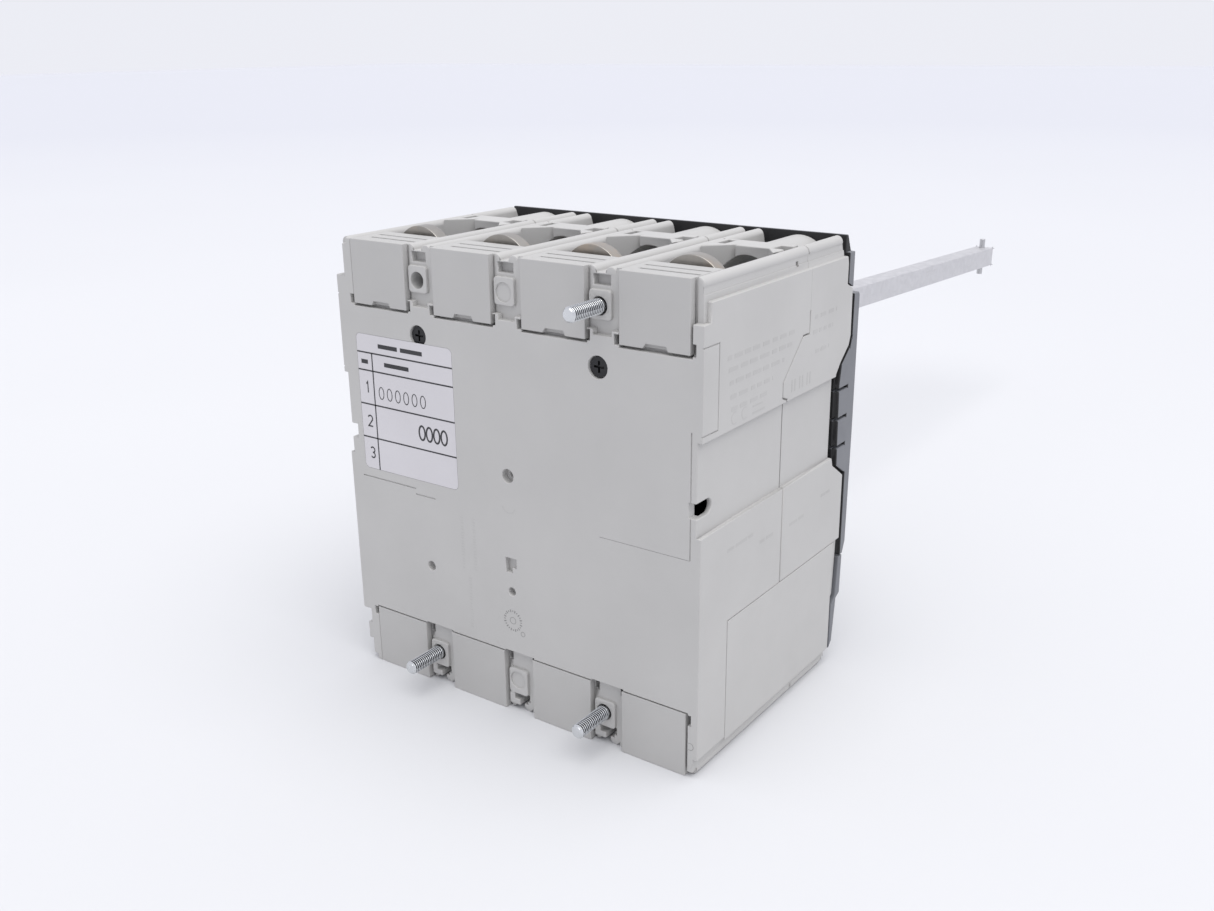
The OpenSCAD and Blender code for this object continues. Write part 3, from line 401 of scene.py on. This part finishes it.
def soften(name, width_mm):
    """Shows a node by a copy whose sharp outer edges are rounded, by as much as there is room for."""
    source = NODES[name]
    width = width_mm * MM
    bm = bmesh.new()
    bm.from_mesh(source.data)
    bmesh.ops.remove_doubles(bm, verts=bm.verts, dist=WELD)
    bmesh.ops.dissolve_limit(bm, angle_limit=FLAT, verts=bm.verts, edges=bm.edges)
    weights = bm.edges.layers.float.new("bevel_weight_edge")
    room = room_beside(bm, ROOM_REACH * width)
    for edge in bm.edges:
        edge[weights] = 0.0
        edge.smooth = len(edge.link_faces) == 2 and edge.calc_face_angle() < SHARP
        share = ROOM_SHARE * room.get(edge.index, 0.0) / width
        if share > LEAST_ROUNDING:
            edge[weights] = min(share, 1.0)
            edge.smooth = True
    mesh = bpy.data.meshes.new(name + "_soft")
    bm.to_mesh(mesh)
    bm.free()
    piece = link(bpy.data.objects.new(name + "_soft", mesh))
    bevel = piece.modifiers.new("edges", "BEVEL")
    bevel.width = width
    bevel.segments = 2
    bevel.limit_method = "WEIGHT"
    bevel.use_clamp_overlap = False
    rounded = piece.evaluated_get(bpy.context.evaluated_depsgraph_get()).to_mesh()
    bm = bmesh.new()
    bm.from_mesh(rounded)
    mend_faces(bm)
    for face in bm.faces:
        face.smooth = True
    bm.to_mesh(mesh)
    bm.free()
    piece.modifiers.remove(bevel)
    normals = piece.modifiers.new("normals", "WEIGHTED_NORMAL")
    normals.keep_sharp = True
    mesh.materials.append(MATERIALS[SLOT_OF[name]])
    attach(piece, BODY_OF[name])
    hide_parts(name)
    return piece


def paint_shade_inside(piece):
    """Paints near-black shade onto the back of a dark plate and into the relief along its side edges, where
    shade falls.
    """
    mesh = piece.data
    mesh.materials.append(MASK_PAINTED_SHADE)
    outer_side = CAD_BOX[1].x - 0.2 * MM
    for polygon in mesh.polygons:
        faces_back = polygon.normal.y > 0.3
        in_relief = abs(polygon.normal.x) > 0.7 and abs(polygon.center.x) < outer_side
        if faces_back or in_relief:
            polygon.material_index = 1


def dress_nodes():
    """Gives every CAD node its material."""
    for name, obj in NODES.items():
        obj.data.materials.clear()
        obj.data.materials.append(MATERIALS[SLOT_OF[name]])


POLES = range(1, 5)
INSERTS = [f"rear_insert_{row}_{pole}" for row in ("top", "bottom") for pole in POLES]
TOP_TERMINALS = [f"terminal_top_{pole}" for pole in POLES]
# The full width of each rounding
EDGE_MM = {"base_housing": 0.3, "cover_housing": 0.3, "front_mask": 0.35, "mask_top_strip": 0.25,
           "mask_bottom_strip": 0.25, "drive_housing": 0.6, "side_panel_left": 0.2, "side_panel_right": 0.2,
           **dict.fromkeys(INSERTS, 0.22), "shaft_rod": 0.5, "cross_pin": 0.25, "drive_hub": 0.4,
           "drive_backplate": 0.3, "trip_button": 0.2, **dict.fromkeys(TOP_TERMINALS, 0.2)}


# ---- Printed and moulded marks ----

def box_mm(name):
    """A node's two corners, in millimetres."""
    return [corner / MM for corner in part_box(name)]


def marked_face(origin, wide, out):
    """Where a face's drawing has its origin, and which way its width, height and outside go."""
    return Vector(origin), Vector(wide), Vector((0, 0, 1)), Vector(out)


CASE_LOW, CASE_HIGH = box_mm("base_housing")
DRIVE_LOW, DRIVE_HIGH = box_mm("drive_housing")
REAR_FACE = marked_face((0, 0, 0), (1, 0, 0), (0, 1, 0))
RIGHT_SIDE = marked_face((CASE_LOW.x, 0, 0), (0, -1, 0), (-1, 0, 0))
LEFT_SIDE = marked_face((CASE_HIGH.x, 0, 0), (0, -1, 0), (1, 0, 0))
DRIVE_FRONT = marked_face((0, DRIVE_LOW.y, 0), (1, 0, 0), (0, -1, 0))
PROUD_MM = 0.03


def ribbon(bm, face, points, width, closed=False):
    """A line of even width along the points, as a thin closed strip that stands just proud of the face."""
    origin, wide, high, out = face
    flat = [Vector(point) for point in points]
    count = len(flat)
    rings = []
    for k, here in enumerate(flat):
        before = flat[(k - 1) % count] if closed or k else None
        after = flat[(k + 1) % count] if closed or k < count - 1 else None
        into = (here - before).normalized() if before else (after - here).normalized()
        onward = (after - here).normalized() if after else into
        along = (into + onward).normalized()
        aside = Vector((-along.y, along.x)) * (width / 2 / max(along.dot(into), 0.4))
        ring = []
        for corner, lift in ((here + aside, -PROUD_MM), (here + aside, PROUD_MM),
                             (here - aside, PROUD_MM), (here - aside, -PROUD_MM)):
            ring.append(bm.verts.new((origin + wide * corner.x + high * corner.y + out * lift) * MM))
        rings.append(ring)
    links = count if closed else count - 1
    for k in range(links):
        one, two = rings[k], rings[(k + 1) % count]
        for side in range(4):
            beside = (side + 1) % 4
            bm.faces.new((one[side], one[beside], two[beside], two[side]))
    if not closed:
        bm.faces.new(rings[0][::-1])
        bm.faces.new(rings[-1])


def arc(centre, radius, start_deg, end_deg, steps=20):
    """Points along an arc; a full circle leaves out its last point."""
    full = end_deg - start_deg == 360
    count = steps if full else steps + 1
    turn = [math.radians(start_deg + (end_deg - start_deg) * k / steps) for k in range(count)]
    return [(centre[0] + radius * math.cos(a), centre[1] + radius * math.sin(a)) for a in turn]


def digit_lines(digit, x, z, height):
    """Centre lines of a digit from 0 to 3, each with whether it is a loop. The lower left is at x, z."""
    half = 0.27 * height
    mid = x + half
    if digit == 0:
        loop = [(mid + half * math.cos(a), z + height / 2 + height / 2 * math.sin(a))
                for a in (math.tau * k / 20 for k in range(20))]
        return [(loop, True)]
    if digit == 1:
        return [([(mid - 0.6 * half, z + 0.8 * height), (mid, z + height), (mid, z)], False)]
    if digit == 2:
        top = arc((mid, z + height - half), half, 160, -30, 10)
        return [(top + [(mid - half, z), (mid + half, z)], False)]
    upper = arc((mid, z + height * 0.75), height * 0.25, 150, -90, 10)
    lower = arc((mid, z + height * 0.25), height * 0.25, 90, -150, 10)
    return [(upper, False), (lower, False)]


def mark_piece(name, face, lines, material, body_node):
    """One mesh of marks on a face. Each line is (points, width, closed)."""
    bm = bmesh.new()
    for points, width, closed in lines:
        ribbon(bm, face, points, width, closed)
    bmesh.ops.recalc_face_normals(bm, faces=bm.faces)
    mesh = bpy.data.meshes.new(name)
    bm.to_mesh(mesh)
    bm.free()
    mesh.materials.append(material)
    piece = link(bpy.data.objects.new(name, mesh))
    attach(piece, BODY_OF[body_node])
    return piece


def word_bars(x, z, widths, height, gap):
    """A row of short bars that stands for a line of words, as (points, width, closed) lines."""
    lines = []
    for width in widths:
        lines.append(([(x, z), (x + width, z)], height, False))
        x += width + gap
    return lines


def random_bars(x, z, end, narrowest, widest):
    """A row of bars of random widths and gaps, from x to the end."""
    lines = []
    while x < end:
        width = random.uniform(narrowest, widest)
        lines += word_bars(x, z, [min(width, end - x)], 1.1, 0)
        x += width + random.uniform(0.9, 1.8)
    return lines


def label_marks():
    """The sticker's blank table, with a row number at its left and stamped zeros."""
    low, high = box_mm("identification_label")
    rule = 0.42
    head_z = 33.2
    column_x = 48.3
    lines = [([(low.x, z), (high.x, z)], rule, False) for z in (head_z, 28.0, 18.0, 8.0)]
    lines.append(([(column_x, low.z), (column_x, head_z)], rule, False))
    # Seen from behind, +X is on the left, so each row of digits and bars runs towards smaller x.
    # A row of digits: its stroke, height and pitch, where it starts, and the digits
    rows = [(rule, 3.2, 0.0, 51.6, z, [row + 1]) for row, z in enumerate((21.4, 11.4, 1.8))]
    rows.append((0.26, 3.5, 3.2, 46.4, 20.2, [0] * 6))
    rows.append((0.55, 4.1, 2.75, 31.6, 10.8, [0] * 4))
    for stroke, height, pitch, x, z, digits in rows:
        for place, digit in enumerate(digits):
            for points, closed in digit_lines(digit, pitch * place, 0, height):
                lines.append(([(x - px, z + pz) for px, pz in points], stroke, closed))
    for x, z, width in ((45.6, 35.6, 7.4), (37.0, 35.6, 8.2), (52.6, 30.5, 2.6), (43.6, 30.5, 9.4)):
        lines.append(([(x, z), (x - width, z)], 1.2, False))
    mark_piece("label_marks", REAR_FACE, lines, PRINT, "identification_label")


def rear_marks():
    """Moulded marks on the rear: a date dial with ticks, a few faint rows and two small rings, all drawn
    darker than the housing as painted shade of their moulded edges.
    """
    dial_x, dial_z = 0, -36.3
    ticks = 24
    # The dial, its ticks and the rings beside it are drawn in painted shade
    dark = [(arc((dial_x, dial_z), 1.0, 0, 360, 20), 0.12, True),
            (arc((-3.4, -39.6), 0.7, 0, 360, 16), 0.14, True)]
    for k in range(ticks):
        across, up = math.cos(math.tau * k / ticks), math.sin(math.tau * k / ticks)
        inner, outer = (2.5, 3.3) if k % 2 else (2.7, 3.1)
        tick = [(dial_x + radius * across, dial_z + radius * up) for radius in (inner, outer)]
        dark.append((tick, 0.3, False))
    dark.append((arc((-57.8, -55.7), 1.0, 60, 300, 20), 0.14, False))
    mark_piece("date_dial", REAR_FACE, dark, DIAL_PAINTED_SHADE, "base_housing")
    lines = [(arc((0, -1.8), 2.4, 200, 340, 12), 0.16, False)]
    for x, z, end in ((17.3, -9.3, -25.6), (12.9, -8.9, -24.9), (15.2, -27.3, -43.0)):
        while z > end:
            lines.append(([(x - 0.5, z), (x + 0.5, z)], 0.14, False))
            z -= random.uniform(0.7, 1.3)
    mark_piece("rear_marks", REAR_FACE, lines, RELIEF_PAINTED_SHADE, "base_housing")


def side_marks():
    """Very faint moulded rows on both sides, in place of words, drawn a little darker than the housing as
    painted shade of their relief.
    """
    base_rows = [(11.0 + 0.6 * k, z, end) for k, (z, end) in
                 enumerate(((44.5, 46), (41.5, 44), (38.2, 40), (34.6, 34), (31.4, 32)))]
    for face, where in ((RIGHT_SIDE, "right"), (LEFT_SIDE, "left")):
        lines = []
        for start, z, end in base_rows:
            lines += random_bars(start, z, end, 1.6, 4.6)
        lines.append((arc((15.0, 29.0), 1.5, 60, 300, 14), 0.3, False))
        lines.append((arc((20.0, 29.0), 1.5, 60, 300, 14), 0.3, False))
        lines += word_bars(24.0, 29.6, [5.0], 0.5, 0) + word_bars(24.0, 27.9, [6.2], 0.5, 0)
        lines += word_bars(13.0, -5.4, [3.4, 5.8, 2.4], 0.9, 0.8)
        lines += word_bars(30.0, -9.0, [2.6, 4.0], 0.9, 0.8)
        mark_piece("side_marks_base_" + where, face, lines, RELIEF_PAINTED_SHADE, "base_housing")
        lines = []
        for z, start, end in ((46.0, 57, 70), (42.0, 56, 68), (36.5, 58, 66)):
            lines += random_bars(start, z, end, 1.4, 3.6)
        for x in (45.0, 49.4, 53.8):
            lines += [([(bar_x, 28.3), (bar_x, 31.6)], 0.7, False) for bar_x in (x, x + 1.6)]
        lines += word_bars(47.0, -9.8, [4.4, 3.2], 0.9, 0.8) + word_bars(66.0, -7.4, [3.0, 1.8], 0.9, 0.7)
        mark_piece("side_marks_cover_" + where, face, lines, RELIEF_PAINTED_SHADE, "cover_housing")


def drive_marks():
    """The on and off signs and the quarter-turn arc round the hub, on the drive's front."""
    hub_x, hub_z = (DRIVE_LOW.x + DRIVE_HIGH.x) / 2, (DRIVE_LOW.z + DRIVE_HIGH.z) / 2
    on_sign = [(hub_x, hub_z + 17.2), (hub_x, hub_z + 21.4)]
    off_sign = arc((hub_x + 19.3, hub_z), 1.9, 0, 360, 24)
    quarter_turn = arc((hub_x, hub_z), 14.2, 8, 82, 24)
    lines = [(on_sign, 0.9, False), (off_sign, 0.8, True), (quarter_turn, 0.5, False)]
    mark_piece("drive_marks", DRIVE_FRONT, lines, WHITE_PRINT, "drive_housing")


# ---- Threaded ends of the long fixing screws ----

STUD = next(mount for mount in frame["record"]["mounts"] if mount["name"] == "upper_fixing_stud")
FIXING_X, FIXING_Z = abs(STUD["pos_m"][0]) / MM, abs(STUD["pos_m"][2]) / MM
THREAD_RADIUS = STUD["dims"]["r_mm"]
THREAD_PITCH = 0.7
THREAD_START = -0.5
TIP_CHAMFER = 0.55
# The thread's root, painted dark as shade: how far it lies below the crest, and how far from the tip the
# painted shade ends
ROOT_BELOW = 0.12
ROOT_END = 0.6


def threaded_rod(bm, x, z, start, end, radius, pitch, sides=24, rows_per_turn=8):
    """Closed rod along +Y with a single-start thread, from start to a chamfered end. All in millimetres."""
    # The basic depth of a metric screw's thread
    depth = 0.54 * pitch
    step = pitch / rows_per_turn
    count = round((end - start) / step)
    rings = []
    for row in range(count + 1):
        y = start + (end - start) * row / count
        ring = []
        for side in range(sides):
            turn = side / sides
            phase = (y / pitch - turn) % 1.0
            crest = abs(2 * phase - 1)
            r = radius - depth * (1 - min(1.0, 1.25 * crest))
            r = min(r, radius - TIP_CHAMFER + (end - y))
            angle = math.tau * turn
            ring.append(bm.verts.new(Vector((x + r * math.cos(angle), y, z + r * math.sin(angle))) * MM))
        rings.append(ring)
    for one, two in zip(rings, rings[1:]):
        for side in range(sides):
            beside = (side + 1) % sides
            bm.faces.new((one[side], two[side], two[beside], one[beside]))
    bm.faces.new(rings[0])
    bm.faces.new(rings[-1][::-1])


def threaded_fixing_screws():
    """The fixing screws, with the plain bar outside the housing changed for a real thread whose root is
    painted dark as shade.
    """
    source = NODES["fixing_screws"]
    tip = box_mm("fixing_screws")[1].y
    bm = bmesh.new()
    bm.from_mesh(source.data)
    bmesh.ops.remove_doubles(bm, verts=bm.verts, dist=WELD)
    cut = bmesh.ops.bisect_plane(bm, geom=bm.verts[:] + bm.edges[:] + bm.faces[:], dist=1e-7,
                                 plane_co=(0, THREAD_START * MM, 0), plane_no=(0, 1, 0), clear_outer=True)
    rims = [item for item in cut["geom_cut"] if isinstance(item, bmesh.types.BMEdge)]
    bmesh.ops.holes_fill(bm, edges=rims, sides=0)
    for x, z in ((-FIXING_X, FIXING_Z), (FIXING_X, -FIXING_Z), (-FIXING_X, -FIXING_Z)):
        threaded_rod(bm, x, z, THREAD_START, tip, THREAD_RADIUS, THREAD_PITCH)
    bmesh.ops.recalc_face_normals(bm, faces=bm.faces)
    for face in bm.faces:
        face.smooth = False
        middle = face.calc_center_median() / MM
        # Faces in the thread's root get the painted shade
        if THREAD_START < middle.y < tip - ROOT_END:
            reach = math.hypot(abs(middle.x) - FIXING_X, abs(middle.z) - FIXING_Z)
            face.material_index = int(reach < THREAD_RADIUS - ROOT_BELOW)
    mesh = bpy.data.meshes.new("fixing_screws_threaded")
    bm.to_mesh(mesh)
    bm.free()
    mesh.materials.append(MATERIALS[SLOT_OF["fixing_screws"]])
    mesh.materials.append(THREAD_ROOT_SHADE)
    piece = link(bpy.data.objects.new("fixing_screws_threaded", mesh))
    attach(piece, BODY_OF["fixing_screws"])
    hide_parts("fixing_screws")


# ---- Build ----

camera()
studio()
dress_nodes()
for node_name, edge_mm in EDGE_MM.items():
    softened = soften(node_name, edge_mm)
    # The front mask and the top strip get painted shade on their backs and in their side grooves
    if node_name in ("front_mask", "mask_top_strip"):
        paint_shade_inside(softened)
threaded_fixing_screws()
label_marks()
rear_marks()
side_marks()
drive_marks()
